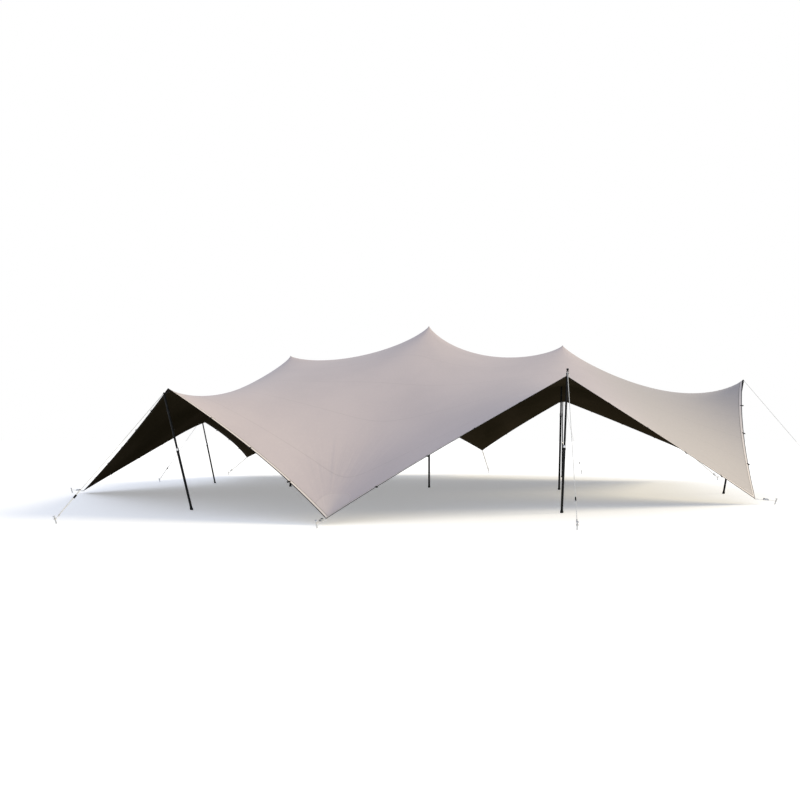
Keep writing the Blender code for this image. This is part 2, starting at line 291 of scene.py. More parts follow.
class Nodes:
    """Short calls that add nodes to a material's tree or a group's."""

    def __init__(self, tree):
        self.tree = tree

    def give(self, socket, value):
        """Links a socket or sets a number, a vector or a colour. None leaves it as it is."""
        if isinstance(value, bpy.types.NodeSocket):
            self.tree.links.new(value, socket)
        elif value is not None:
            socket.default_value = (*value, 1.0) if socket.type == "RGBA" else value

    def add(self, kind, *values, output=0, **settings):
        """A node with its first inputs given in order."""
        made = self.tree.nodes.new("ShaderNode" + kind)
        for name, value in settings.items():
            setattr(made, name, value)
        for socket, value in zip(made.inputs, values):
            self.give(socket, value)
        return made.outputs[output]

    def math(self, operation, *values):
        return self.add("Math", *values, operation=operation)

    def step(self, value, low, high, to_low=0.0, to_high=1.0):
        return self.add("MapRange", value, low, high, to_low, to_high, interpolation_type="SMOOTHSTEP")

    def line(self, value, place, width):
        """1 within half a width of a place, and 0 a little beyond."""
        apart = self.math("ABSOLUTE", self.math("SUBTRACT", value, place))
        return self.step(apart, width * 0.35, width * 0.65, 1.0, 0.0)

    def mix(self, share, first, second):
        made = self.tree.nodes.new("ShaderNodeMix")
        made.data_type = "RGBA"
        for name, value in (("Factor_Float", share), ("A_Color", first), ("B_Color", second)):
            self.give(next(socket for socket in made.inputs if socket.identifier == name), value)
        return next(socket for socket in made.outputs if socket.identifier == "Result_Color")

    def noise(self, vector, scale, detail=3.0, roughness=0.5):
        return self.add("TexNoise", vector, None, scale, detail, roughness)

    def bump(self, height, distance, normal=None, strength=1.0):
        made = self.tree.nodes.new("ShaderNodeBump")
        values = {"Strength": strength, "Distance": distance, "Height": height, "Normal": normal}
        for name, value in values.items():
            self.give(made.inputs[name], value)
        return made.outputs[0]


def new_group(name, inputs, outputs):
    """A node group, its sockets given as names and kinds."""
    tree = bpy.data.node_groups.new(name, "ShaderNodeTree")
    for in_out, sockets in (("INPUT", inputs), ("OUTPUT", outputs)):
        for label, kind in sockets.items():
            tree.interface.new_socket(name=label, in_out=in_out, socket_type="NodeSocket" + kind)
    given = tree.nodes.new("NodeGroupInput").outputs
    result = tree.nodes.new("NodeGroupOutput").inputs
    return tree, Nodes(tree), given, result


def cloth_group():
    """Coated stretch cloth: cloudy tone, knitted grain, lengthwise welds, the doubled and stitched
    hem, round patches at the pins, and creases that run out from every pin, as high as their
    distance from it times the crease depth. Towards the right end the tone is painted darker
    and yellower: painted shade for how that end is lit."""
    colours = ("Colour", "Cloud colour", "Right end colour", "Doubled colour", "Thread colour")
    tree, nodes, given, result = new_group(
        "cloth",
        {**dict.fromkeys(colours, "Color"), "Crease depth": "Float"},
        {"Colour": "Color", "Normal": "Vector"},
    )
    flat = nodes.add("UVMap", uv_map="flat")
    along = nodes.add("SeparateXYZ", flat)
    across = along.node.outputs[1]
    near_pin = None
    for place in flat_places(SHEET_PINS):
        apart = nodes.add("VectorMath", flat, (*place, 0.0), output=1, operation="DISTANCE")
        near_pin = apart if near_pin is None else nodes.math("MINIMUM", near_pin, apart)
    from_weld = nodes.math("PINGPONG", across, PANEL_WIDTH / 2)
    weld = nodes.step(from_weld, (WELD_WIDTH - SOFT_EDGE) / 2, (WELD_WIDTH + SOFT_EDGE) / 2, 1.0, 0.0)
    from_side = nodes.add("SeparateXYZ", nodes.add("Attribute", attribute_name="to_edge", output=1))
    from_edge = nodes.math("MINIMUM", from_side, from_side.node.outputs[1])
    hem = nodes.step(from_edge, HEM_BAND, HEM_BAND + SOFT_EDGE, 1.0, 0.0)
    patch = nodes.step(near_pin, PATCH_RADIUS, PATCH_RADIUS + SOFT_EDGE, 1.0, 0.0)
    doubled = nodes.math("MAXIMUM", hem, nodes.math("MULTIPLY", patch, PATCH_SHARE))
    hem_thread = nodes.line(from_edge, HEM_BAND - STITCH_INSET, HEM_THREAD_WIDTH)
    patch_thread = nodes.line(near_pin, PATCH_RADIUS - STITCH_INSET, PATCH_THREAD_WIDTH)
    thread = nodes.math("MAXIMUM", hem_thread, nodes.math("MULTIPLY", patch_thread, PATCH_THREAD_SHARE))
    thread = nodes.math("MAXIMUM", thread, nodes.math("MULTIPLY", weld, WELD_SHARE))

    clouds = nodes.step(nodes.noise(flat, 0.4, 4.0, 0.55), 0.3, 0.7)
    tone = nodes.mix(clouds, given["Colour"], given["Cloud colour"])
    # Painted shade: towards the right end the tone turns darker and yellower, for how that end is lit.
    tone = nodes.mix(nodes.step(along, *RIGHT_END_SHADE_RAMP), tone, given["Right end colour"])
    specks = nodes.step(nodes.noise(flat, 14.0, 4.0, 0.65), 0.45, 0.8)
    tone = nodes.mix(nodes.math("MULTIPLY", specks, SPECK_SHARE), tone, given["Doubled colour"])
    tone = nodes.mix(doubled, tone, given["Doubled colour"])
    nodes.give(result["Colour"], nodes.mix(thread, tone, given["Thread colour"]))

    creases = nodes.noise(nodes.add("Attribute", attribute_name="fan", output=1), 1.0, 2.0, 0.5)
    fading = nodes.step(near_pin, CREASE_REACH * 0.15, CREASE_REACH, 1.0, 0.0)
    height = nodes.math("MULTIPLY", nodes.math("MULTIPLY", creases, near_pin), fading)
    normal = nodes.bump(height, given["Crease depth"])
    layers = nodes.math("MAXIMUM", nodes.math("MAXIMUM", hem, patch), nodes.math("MULTIPLY", weld, 0.5))
    layers = nodes.math("SUBTRACT", layers, nodes.math("MULTIPLY", thread, 0.6))
    normal = nodes.bump(layers, LAYER_RELIEF, normal)
    normal = nodes.bump(nodes.noise(flat, 280.0, 2.0), KNIT_RELIEF, normal, 0.6)
    nodes.give(result["Normal"], normal)
    return tree


def drift_group():
    """Wear on a hard finish: tone that drifts, scuffed spots of the worn colour, and fine grain."""
    numbers = ("Wear", "Roughness", "Cloud scale", "Grain scale")
    tree, nodes, given, result = new_group(
        "drift",
        {"Colour": "Color", "Worn colour": "Color", **dict.fromkeys(numbers, "Float")},
        {"Colour": "Color", "Roughness": "Float", "Normal": "Vector"},
    )
    spot = nodes.add("TexCoord", output=3)
    drift = nodes.noise(spot, given["Cloud scale"], 4.0, 0.6)
    scuffs = nodes.noise(spot, nodes.math("MULTIPLY", given["Cloud scale"], 4.0), 5.0, 0.7)
    scuffs = nodes.math("MULTIPLY", nodes.step(scuffs, 0.56, 0.68), given["Wear"])
    dulled = nodes.add("VectorMath", given["Colour"], operation="SCALE")
    nodes.give(dulled.node.inputs["Scale"], nodes.step(drift, 0.3, 0.7, 0.8, 1.15))
    nodes.give(result["Colour"], nodes.mix(scuffs, dulled, given["Worn colour"]))
    rough = nodes.math("MULTIPLY", given["Roughness"], nodes.step(drift, 0.2, 0.8, 0.85, 1.15))
    nodes.give(result["Roughness"], nodes.math("ADD", rough, nodes.math("MULTIPLY", scuffs, 0.15)))
    grain = nodes.noise(spot, given["Grain scale"], 2.0)
    nodes.give(result["Normal"], nodes.bump(grain, 0.0003, strength=0.6))
    return tree


def weave_group():
    """Webbing: warp and weft as a product of two sines of the map, and a stripe near each side."""
    tree, nodes, given, result = new_group(
        "weave",
        {"Colour": "Color", "Stripe colour": "Color", "Shadow colour": "Color", "Thread spacing": "Float"},
        {"Colour": "Color", "Normal": "Vector"},
    )
    across = nodes.add("SeparateXYZ", nodes.add("UVMap", uv_map="flat"))
    along = across.node.outputs[1]
    turn = nodes.math("DIVIDE", 2 * np.pi, given["Thread spacing"])
    weft = nodes.math("SINE", nodes.math("MULTIPLY", along, turn))
    warp = nodes.math("SINE", nodes.math("MULTIPLY", across, turn))
    weave = nodes.math("MULTIPLY", weft, warp)
    stripe = nodes.line(nodes.math("ABSOLUTE", across), STRAP_WIDTH * 0.34, 0.005)
    tone = nodes.mix(stripe, given["Colour"], given["Stripe colour"])
    tone = nodes.mix(nodes.step(weave, -1.0, 0.5, 0.5, 0.0), tone, given["Shadow colour"])
    nodes.give(result["Colour"], tone)
    nodes.give(result["Normal"], nodes.bump(weave, 0.0006, strength=0.8))
    return tree


def new_finish(name, roughness, metallic=0.0, sheen=0.0, gloss=0.5):
    """A plain material, with the calls that add nodes to it and its shader."""
    made = bpy.data.materials.new(name)
    made.use_nodes = True
    shader = made.node_tree.nodes["Principled BSDF"]
    shader.inputs["Roughness"].default_value = roughness
    shader.inputs["Metallic"].default_value = metallic
    shader.inputs["Sheen Weight"].default_value = sheen
    shader.inputs["Specular IOR Level"].default_value = gloss
    return made, Nodes(made.node_tree), shader


def finish(name, group, roughness, metallic=0.0, sheen=0.0, gloss=0.5, **values):
    """A material with a group before its shader. The values are the group's inputs by name."""
    made, nodes, shader = new_finish(name, roughness, metallic, sheen, gloss)
    effect = made.node_tree.nodes.new("ShaderNodeGroup")
    effect.node_tree = group
    if "Roughness" in effect.inputs:
        values["roughness"] = roughness
    for label, value in values.items():
        nodes.give(effect.inputs[label.replace("_", " ").capitalize()], value)
    for socket, target in (("Colour", "Base Color"), ("Roughness", "Roughness"), ("Normal", "Normal")):
        if socket in effect.outputs:
            nodes.give(shader.inputs[target], effect.outputs[socket])
    return made


def rope_finish():
    """Braided rope: strands that slant both ways round it, as a product of two sines. The hollows between
    the strands are painted darker: painted shade.
    """
    made, nodes, shader = new_finish("guy_rope", roughness=0.85, sheen=0.2)
    around = nodes.add("SeparateXYZ", nodes.add("UVMap", uv_map="flat"))
    along = around.node.outputs[1]
    slants = [nodes.math(way, around, along) for way in ("ADD", "SUBTRACT")]
    strands = [nodes.math("SINE", nodes.math("MULTIPLY", slant, 4 / ROPE_RADIUS)) for slant in slants]
    braid = nodes.math("MULTIPLY", *strands)
    # Painted shade: the braid's hollows take the dark grey and its crowns the pale one.
    tone = nodes.mix(nodes.step(braid, -0.9, 0.4), (0.36, 0.36, 0.35), (0.74, 0.74, 0.72))
    nodes.give(shader.inputs["Base Color"], tone)
    nodes.give(shader.inputs["Normal"], nodes.bump(braid, 0.001, strength=0.8))
    return made


def dark_webbing(name, weave, colour, shadow_colour):
    """Webbing in one dark colour, its stripe too."""
    return finish(
        name,
        weave,
        roughness=0.85,
        gloss=0.1,
        colour=colour,
        stripe_colour=colour,
        shadow_colour=shadow_colour,
        thread_spacing=0.003,
    )


def make_finishes():
    cloth, drift, weave = cloth_group(), drift_group(), weave_group()
    return {
        "top": finish(
            "fabric_top",
            cloth,
            roughness=0.75,
            sheen=0.1,
            colour=(0.475, 0.415, 0.420),
            cloud_colour=(0.435, 0.382, 0.392),
            # The right end's colour is painted shade.
            right_end_colour=(0.392, 0.360, 0.350),
            doubled_colour=(0.60, 0.545, 0.515),
            thread_colour=(0.10, 0.09, 0.085),
            crease_depth=0.012,
        ),
        "under": finish(
            "fabric_under",
            cloth,
            roughness=0.9,
            gloss=0.0,
            colour=(0.024, 0.0185, 0.0110),
            cloud_colour=(0.015, 0.0120, 0.0065),
            # The right end's colour is painted shade.
            right_end_colour=(0.020, 0.0150, 0.0085),
            doubled_colour=(0.030, 0.0240, 0.0150),
            thread_colour=(0.040, 0.033, 0.024),
            crease_depth=0.010,
        ),
        "tape": dark_webbing("hem_tape", weave, (0.010, 0.009, 0.008), (0.004, 0.004, 0.003)),
        "dark_web": dark_webbing("loop_webbing", weave, (0.012, 0.011, 0.010), (0.005, 0.005, 0.005)),
        "web": finish(
            "strap_webbing",
            weave,
            roughness=0.8,
            sheen=0.2,
            colour=(0.70, 0.68, 0.64),
            stripe_colour=(0.42, 0.41, 0.39),
            shadow_colour=(0.25, 0.24, 0.23),
            thread_spacing=0.003,
        ),
        "paint": finish(
            "pole_paint",
            drift,
            roughness=0.45,
            gloss=0.12,
            colour=(0.006, 0.006, 0.0065),
            worn_colour=(0.05, 0.05, 0.05),
            wear=0.3,
            cloud_scale=6.0,
            grain_scale=500.0,
        ),
        "rubber": finish(
            "pole_rubber",
            drift,
            roughness=0.75,
            gloss=0.2,
            colour=(0.009, 0.009, 0.009),
            worn_colour=(0.05, 0.046, 0.042),
            wear=0.3,
            cloud_scale=20.0,
            grain_scale=900.0,
        ),
        "bright": finish(
            "collar_metal",
            drift,
            roughness=0.3,
            metallic=0.9,
            colour=(0.74, 0.74, 0.75),
            worn_colour=(0.45, 0.45, 0.46),
            wear=0.4,
            cloud_scale=40.0,
            grain_scale=700.0,
        ),
        "steel": finish(
            "stake_steel",
            drift,
            roughness=0.42,
            metallic=0.95,
            colour=(0.55, 0.56, 0.57),
            worn_colour=(0.24, 0.15, 0.09),
            wear=0.5,
            cloud_scale=22.0,
            grain_scale=500.0,
        ),
        "rope": rope_finish(),
    }


# Shapes


def add_mesh(name, points, faces, finishes, face_finish, corner_flat, sharp):
    """A piece of the root body. corner_flat is the map's place of each face's corners in turn."""
    mesh = bpy.data.meshes.new(name)
    mesh.from_pydata(points.tolist(), [], faces)
    for one in finishes:
        mesh.materials.append(one)
    mesh.polygons.foreach_set("material_index", np.asarray(face_finish, np.int32))
    mesh.uv_layers.new(name="flat").data.foreach_set("uv", corner_flat.ravel())
    mesh.shade_smooth()
    mesh.set_sharp_from_angle(angle=sharp)
    made = bpy.data.objects.new(name, mesh)
    bpy.context.scene.collection.objects.link(made)
    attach(made, "root")
    return made


def carried(centres, across, over, outline):
    """A profile carried along a path: each point is its centre, plus its first place in the
    outline times the across direction, plus its second place times the over direction."""
    across = np.broadcast_to(across, centres.shape)[:, None]
    over = np.broadcast_to(over, centres.shape)[:, None]
    return centres[:, None] + outline[..., :1] * across + outline[..., 1:] * over


def circle(angles):
    """The points of a unit circle at the given angles: the cosine and the sine of each."""
    return np.stack([np.cos(angles), np.sin(angles)], -1)


def angles_round(count):
    return np.arange(count) / count * 2 * np.pi


def crosswise(axis, near):
    """The direction across the axis that is closest to a given one."""
    return unit(near - axis * (axis * near).sum(-1, keepdims=True))


def arc(centre, axis, facing, radius, angles, climb=0.0):
    """Points on a circle round an axis, at angles from a facing direction, each moved up the axis
    by its climb."""
    first = crosswise(axis, facing)
    centres = centre + np.outer(np.broadcast_to(climb, angles.shape), axis)
    return carried(centres, first, np.cross(axis, first), radius * circle(angles)[:, None])[:, 0]


def coil(centre, axis, facing, radius, turns):
    """Rope wound round a bar: the angle grows evenly, and each turn climbs by nearly its width."""
    angles = np.linspace(-turns, turns, int(turns * COIL_POINTS) + 1) * np.pi
    return arc(centre, axis, facing, radius, angles, angles / (2 * np.pi) * ROPE_RADIUS * COIL_CLIMB)


def travelled(path):
    """The distance along a path of points to each of them."""
    return np.concatenate([[0], np.cumsum(np.linalg.norm(path[1:] - path[:-1], axis=1))])


class Parts:
    """Closed parts, each a grid of rings round a path, that become one piece."""

    def __init__(self):
        self.points, self.faces, self.finish, self.flat = [], [], [], []

    def skin(self, rings, along, around, finish=0, looped=False):
        """Faces between neighbours of a grid of rings, and a cap on each end of an open one. along
        and around are the map's two distances, of each ring and of each point round one."""
        count, sides = rings.shape[:2]
        index = np.arange(count * sides).reshape(count, sides) + sum(len(part) for part in self.points)
        index = np.concatenate([index, index[:1]]) if looped else index
        index = np.concatenate([index, index[:, :1]], 1)
        flat = np.stack(np.meshgrid(around, along), -1)
        pick = [(slice(None, -1), slice(None, -1)), (slice(None, -1), slice(1, None))]
        pick += [(slice(1, None), slice(1, None)), (slice(1, None), slice(None, -1))]
        quads = np.stack([index[corner] for corner in pick], -1)
        self.points.append(rings.reshape(-1, 3))
        self.faces += quads.reshape(-1, 4).tolist()
        self.flat.append(np.stack([flat[corner] for corner in pick], -2).reshape(-1, 2))
        self.finish.append(np.broadcast_to(np.reshape(finish, (-1, 1)), quads.shape[:2]).ravel())
        if not looped:
            self.faces += [index[0, -2::-1].tolist(), index[-1, :-1].tolist()]
            self.flat += [flat[0, -2::-1], flat[-1, :-1]]
            self.finish.append([np.ravel(finish)[0], np.ravel(finish)[-1]])

    def turned(self, start, axis, profile, sides=32, level=False):
        """A profile of (distance, radius, finish) turned round an axis: rings of that radius at
        that distance up it, each with its finish up to the next. Level rings lie flat, with
        distances measured straight up."""
        distance, radius, finish = (np.array(column) for column in zip(*profile))
        centres = start + np.outer(distance / (axis[2] if level else 1.0), axis)
        ring_axis = UP if level else axis
        across = crosswise(ring_axis, np.array((0.0, 1.0, 0.0)))
        outline = radius[:, None, None] * circle(angles_round(sides))
        rings = carried(centres, across, np.cross(ring_axis, across), outline)
        girth = np.linspace(0, 2 * np.pi, sides + 1) * radius.max()
        self.skin(rings, distance, girth, finish[:-1].astype(int))

    def tube(self, path, radius, near, finish=0, sides=12, looped=False):
        """A circle carried along a path, turned towards the direction near."""
        heading = np.roll(path, -1, 0) - np.roll(path, 1, 0) if looped else np.gradient(path, axis=0)
        heading = unit(heading)
        across = crosswise(heading, near)
        outline = radius * circle(angles_round(sides))
        rings = carried(path, across, np.cross(heading, across), outline)
        along = travelled(np.concatenate([path, path[:1]]) if looped else path)
        self.skin(rings, along, np.linspace(0, 2 * np.pi, sides + 1) * ROPE_RADIUS, finish, looped)

    def ribbon(self, path, width_way, width, finish=0, thickness=0.002):
        """A rectangle carried along a path, its width along the given way."""
        heading = unit(np.gradient(path, axis=0))
        across = crosswise(heading, width_way)
        outline = np.array([(1, -1), (1, 1), (-1, 1), (-1, -1)]) * (width / 2, thickness / 2)
        rings = carried(path, across, np.cross(heading, across), outline)
        self.skin(rings, travelled(path), outline[[0, 1, 2, 3, 0], 0], finish)

    def bar(self, start, end, across, outline, finish=0, girth=0.1):
        """An outline carried straight from one point to another."""
        axis = unit(end - start)
        ends = np.stack([start, end])
        rings = carried(ends, across, np.cross(axis, across), outline)
        self.skin(rings, travelled(ends), np.linspace(0, girth, len(outline) + 1), finish)

    def piece(self, name, finishes, sharp=0.7):
        points, face_finish, flat = (np.concatenate(part) for part in (self.points, self.finish, self.flat))
        return add_mesh(name, points, self.faces, finishes, face_finish, flat, sharp)


def cut_corners(width, height, share=0.3):
    """A rectangle's outline with its corners cut off."""
    quarter = np.array([(1, 1 - share), (1 - share, 1)])
    outline = np.concatenate([quarter, quarter[::-1] * (-1, 1), -quarter, quarter[::-1] * (1, -1)])
    return outline * (width / 2, height / 2)


def end_middles(node, sides):
    """The middles of a straight solid's lowest ring and of its far end's."""
    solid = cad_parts[node].data.vertices
    points = np.unique(np.round([vertex.co for vertex in solid], 6), axis=0)
    low = points[np.argsort(points[:, 2])[:sides]].mean(0)
    axis = unit(points.mean(0) - low)
    high = points[np.argsort(points @ axis)[-sides:]].mean(0)
    return low, high


def on_line(point, start, end):
    """The point of a straight line that is nearest to a given one, and the line's direction."""
    axis = unit(end - start)
    return start + axis * ((point - start) @ axis), axis


# The sheet


def surface_normals(middle):
    return unit(np.cross(np.gradient(middle, axis=0), np.gradient(middle, axis=1)))


def round_edge(grid):
    """The edge of a grid as one closed row, from its first corner along its first side."""
    return np.concatenate([grid[:-1, 0], grid[-1, :-1], grid[:0:-1, -1], grid[0, :0:-1]])


def from_ends(grid, axis):
    """How far each point of a grid is along its line from the nearer end of that line."""
    sides = np.linalg.norm(np.diff(grid, axis=axis), axis=-1)
    run = np.cumsum(np.insert(sides, 0, 0.0, axis=axis), axis=axis)
    return np.minimum(run, run.max(axis=axis, keepdims=True) - run)


def build_sheet(middle, finishes):
    """The sheet: the middle surface moved half its thickness along its normal each way, and a rim
    between the two skins. Its map is the flat sheet in metres. Its fan attribute turns round the
    nearest pin, so that a pattern on it runs out from there, and its to_edge attribute holds the
    distances over the stretched sheet from the nearest side and from the nearest end."""
    columns, rows = middle.shape[:2]
    lift = surface_normals(middle) * SHEET_THICKNESS / 2
    points = np.concatenate([(middle + lift).reshape(-1, 3), (middle - lift).reshape(-1, 3)])
    index = np.arange(columns * rows).reshape(columns, rows)
    quads = np.stack([index[:-1, :-1], index[1:, :-1], index[1:, 1:], index[:-1, 1:]], -1).reshape(-1, 4)
    edge = round_edge(index)
    ahead = np.roll(edge, -1)
    rim = np.stack([edge, edge + index.size, ahead + index.size, ahead], 1)
    faces = np.concatenate([quads, quads[:, [0, 3, 2, 1]] + index.size, rim])
    face_finish = np.repeat([0, 1], [len(quads), len(quads) + len(rim)])
    flat = np.tile(flat_sheet(columns - 1, rows - 1).reshape(-1, 2), (2, 1))
    corner_flat, faces = flat[faces.ravel()], faces.tolist()
    made = add_mesh("canopy_sheet", points, faces, finishes, face_finish, corner_flat, SHARP_ANGLE)
    offset = flat[:, None] - flat_places(SHEET_PINS)
    apart = np.linalg.norm(offset, axis=-1)
    nearest, near = apart.argmin(1), apart.min(1)
    toward = offset[np.arange(len(flat)), nearest] / np.maximum(near, 0.001)[:, None]
    outward = nearest * PIN_SHIFT + near * CREASE_DRIFT
    fan = np.concatenate([toward * CREASES_ROUND, outward[:, None]], 1)
    to_edge = np.stack([from_ends(middle, 1), from_ends(middle, 0), np.zeros((columns, rows))], -1)
    for label, vectors in (("fan", fan), ("to_edge", np.concatenate([to_edge, to_edge]))):
        attribute = made.data.attributes.new(label, "FLOAT_VECTOR", "POINT")
        attribute.data.foreach_set("vector", vectors.ravel())
    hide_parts("canopy")
    return made


def hem_line(middle):
    """Points round the hem, and their directions along it and away from the sheet."""
    points = round_edge(middle)
    inner = round_edge(np.pad(middle[1:-1, 1:-1], ((1, 1), (1, 1), (0, 0)), mode="edge"))
    along = unit(np.roll(points, -1, 0) - np.roll(points, 1, 0))
    return points, along, crosswise(along, points - inner)


def hem_place(name):
    """A pin's place in the row of hem points."""
    columns, rows = NETS[-1]
    index = np.arange((columns + 1) * (rows + 1)).reshape(columns + 1, rows + 1)
    return int(np.flatnonzero(round_edge(index) == index[grid_place(name, columns, rows)])[0])


def loop_places(points):
    """Hem points at even spacing between each pin and the next."""
    starts = sorted(hem_place(name) for name in (*SIDE_PEAKS, *ANCHORS))
    places = []
    for start, end in zip(starts, [*starts[1:], starts[0] + len(points)]):
        nodes = np.arange(start, end + 1) % len(points)
        run = travelled(points[nodes])
        gaps = round(run[-1] / LOOP_SPACING)
        wanted = np.arange(1, gaps) / gaps * run[-1]
        places.append(nodes[np.abs(run[:, None] - wanted).argmin(0)])
    return np.concatenate(places)


def build_hem(middle, finishes):
    """The thin dark tape that binds the edge, a folded profile carried round the hem and wider
    underneath, and the webbing loops along it. Both profiles are given as distances out from the
    hem's line and up from the sheet's middle."""
    points, along, outward = hem_line(middle)
    over = np.cross(along, outward)
    fold = [(0.004, 0.0), (0.002, 0.0035), (-0.004, 0.004), (-0.032, 0.0036), (-0.032, 0.0022)]
    fold += [(-0.014, 0.0020), (-0.014, -0.0034), (-0.004, -0.004), (0.002, -0.0035)]
    rings = carried(points, outward, over, np.array(fold))
    run = travelled(np.concatenate([points, points[:1]]))
    tape = Parts()
    tape.skin(rings, run, np.linspace(0, HEM_TAPE_GIRTH, len(fold) + 1), looped=True)
    tape = tape.piece("hem_binding", [finishes["tape"]])

    loops = Parts()
    bend = [(-0.045, 0.004), (-0.01, 0.006), (0.012, 0.008), (0.03, 0.011), (0.042, 0.006), (0.046, 0.0)]
    bend = np.concatenate([bend, np.array(bend[-2::-1]) * (1, -1)])
    for node in loop_places(points):
        path = points[node] + bend[:, :1] * outward[node] + bend[:, 1:] * over[node]
        loops.ribbon(path, along[node], LOOP_WIDTH)
    loops = loops.piece("hem_loops", [finishes["dark_web"]])
    return tape, loops


# Poles


def build_lower_length(name, radius, paint):
    """The lower tube with its collar and bright ring, on a ribbed rubber boot that stands flat."""
    foot, joint = end_middles(f"{name}_pole_lower", POLE_SIDES)
    length, axis = np.linalg.norm(joint - foot), unit(joint - foot)
    shape = Parts()
    tube = [(0.045, radius, PAINT), (length - 0.110, radius, PAINT)]
    tube += [(length - 0.108, radius + 0.004, PAINT), (length - 0.055, radius + 0.004, BRIGHT)]
    tube += [(length - 0.053, radius + 0.002, BRIGHT), (length - 0.050, radius + 0.006, BRIGHT)]
    tube += [(length - 0.004, radius + 0.006, BRIGHT), (length, radius + 0.004, BRIGHT)]
    shape.turned(foot, axis, tube)
    boot = [(0.0, radius + 0.007, RUBBER), (0.003, radius + 0.010, RUBBER)]
    for rib in (0.010, 0.019, 0.028):
        boot += [(rib, radius + 0.010, RUBBER), (rib + 0.003, radius + 0.0075, RUBBER)]
        boot += [(rib + 0.006, radius + 0.010, RUBBER)]
    boot += [(0.046, radius + 0.007, RUBBER), (0.060, radius + 0.004, RUBBER)]
    boot += [(0.063, radius - 0.003, RUBBER)]
    shape.turned(foot, axis, boot, level=True)
    made = shape.piece(f"{name}_pole_lower_tube", paint)
    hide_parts(f"{name}_pole_lower")


def fall_within(middle, name, reach):
    """How far the sheet has fallen at most within a distance of a peak's pin."""
    pin = middle[grid_place(name, *NETS[-1])]
    near = np.linalg.norm((middle - pin)[..., :2], axis=-1) < reach
    return (pin[2] - middle[near, 2]).max()


def build_centre_head(shape, start, axis, length, radius, name, middle):
    """A rubber cone that follows the sheet's peak from below: each ring stands under the tip by as
    much as the sheet falls within a little more than the ring's radius."""
    tube = [(-OVERLAP, radius, PAINT), (length - 0.26, radius, PAINT), (length - 0.24, radius, PAINT)]
    shape.turned(start, axis, tube)
    highest = length - HEAD_CLEARANCE
    falls = [fall_within(middle, name, reach + RING_MARGIN) for reach in HEAD_RINGS]
    top = [(highest - fall, reach, RUBBER) for fall, reach in zip(falls, HEAD_RINGS)]
    rim = top[0][0]
    head = [(rim - 0.16, radius, RUBBER), (rim - 0.15, radius + 0.008, RUBBER)]
    head += [(rim - 0.09, radius + 0.010, RUBBER), (rim - 0.030, 0.070, RUBBER)]
    head += [(rim - 0.014, 0.077, RUBBER), (rim - 0.004, 0.078, RUBBER), *top]
    shape.turned(start, axis, head, 40)


def build_side_head(shape, start, axis, length, radius, name, middle):
    """A rubber flange, a neck for the guy rope, and a round rubber knob unless the neck is bare."""
    flange = length - (BARE_HEAD if name in BARE_NECKS else KNOB_HEAD)
    tube = [(-OVERLAP, radius, PAINT), (flange - 0.004, radius, PAINT), (flange, radius - 0.002, PAINT)]
    shape.turned(start, axis, tube)
    head = [(flange - 0.001, 0.020, RUBBER), (flange, 0.031, RUBBER), (flange + 0.003, 0.033, RUBBER)]
    head += [(flange + 0.010, 0.033, RUBBER), (flange + 0.013, 0.030, RUBBER)]
    head += [(flange + 0.016, 0.017, PAINT), (flange + 0.020, NECK_RADIUS, PAINT)]
    if name in BARE_NECKS:
        head += [(length - 0.003, NECK_RADIUS, PAINT), (length, 0.011, PAINT)]
    else:
        head += [(length - 0.052, NECK_RADIUS, PAINT), (length - 0.047, 0.019, RUBBER)]
        head += [(length - 0.043, 0.024, RUBBER), (length - 0.036, 0.026, RUBBER)]
        head += [(length - 0.018, 0.026, RUBBER), (length - 0.007, 0.022, RUBBER)]
        head += [(length - 0.001, 0.013, RUBBER), (length, 0.004, RUBBER)]
    shape.turned(start, axis, head)


def build_poles(middle, finishes):
    """Each pole in its two lengths, as poles of this kind telescope."""
    paint = [finishes["paint"], finishes["rubber"], finishes["bright"]]
    for names, radii, build_head in (
        (CENTRE_PEAKS, CENTRE_RADII, build_centre_head),
        (SIDE_PEAKS, SIDE_RADII, build_side_head),
    ):
        for name in names:
            build_lower_length(name, radii[0], paint)
            start, end = end_middles(f"{name}_pole_upper", POLE_SIDES)
            shape = Parts()
            build_head(shape, start, unit(end - start), np.linalg.norm(end - start), radii[1], name, middle)
            made = shape.piece(f"{name}_pole_upper_tube", paint)
            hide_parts(f"{name}_pole_upper")


# Stays


def guy_line(name):
    """A guy rope's two ends, and the middle of the neck that it is tied to with its pole's
    direction."""
    low, high = end_middles(f"{name}_guy_rope", STAY_SIDES)
    neck, pole_axis = on_line(high, *end_middles(f"{name}_pole_upper", POLE_SIDES))
    return low, high, neck, pole_axis


def build_guys(finishes):
    """Each rope, wound round its pole's neck in a black sleeve and round its stake, with a knot
    and a slide near the ground that its tail runs through."""
    for name in SIDE_PEAKS:
        low, high, neck, pole_axis = guy_line(name)
        along = unit(high - low)
        side = unit(np.cross(along, UP))
        over = np.cross(side, along)
        tie, stake_axis = on_line(low, *end_middles(f"{name}_guy_stake", STAY_SIDES))
        wound = ROPE_RADIUS - ROPE_SINK
        shape = Parts()
        shape.tube(np.linspace(low, high, 40), ROPE_RADIUS, side, ROPE)
        shape.tube(coil(neck, pole_axis, along, NECK_RADIUS + wound, 1.5), wound, pole_axis, SLEEVE)
        shape.tube(coil(tie, stake_axis, along, STAKE_RADIUS + wound, 2.5), wound, stake_axis, ROPE)
        shape.tube(coil(low + along * KNOT_PLACE, along, side, 0.010, 4), wound, along, ROPE)
        slide, half = low + along * SLIDE_PLACE, along * 0.038
        shape.bar(slide - half, slide + half, side, cut_corners(0.024, 0.036), SLEEVE)
        beside = over * 0.011
        tail = np.linspace(low + beside + along * 0.12, slide + beside + along * 0.16, 16)
        shape.tube(tail, wound, side, ROPE)
        made = shape.piece(f"{name}_guy_rope_laid", [finishes["rope"], finishes["rubber"]])
        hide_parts(f"{name}_guy_rope")


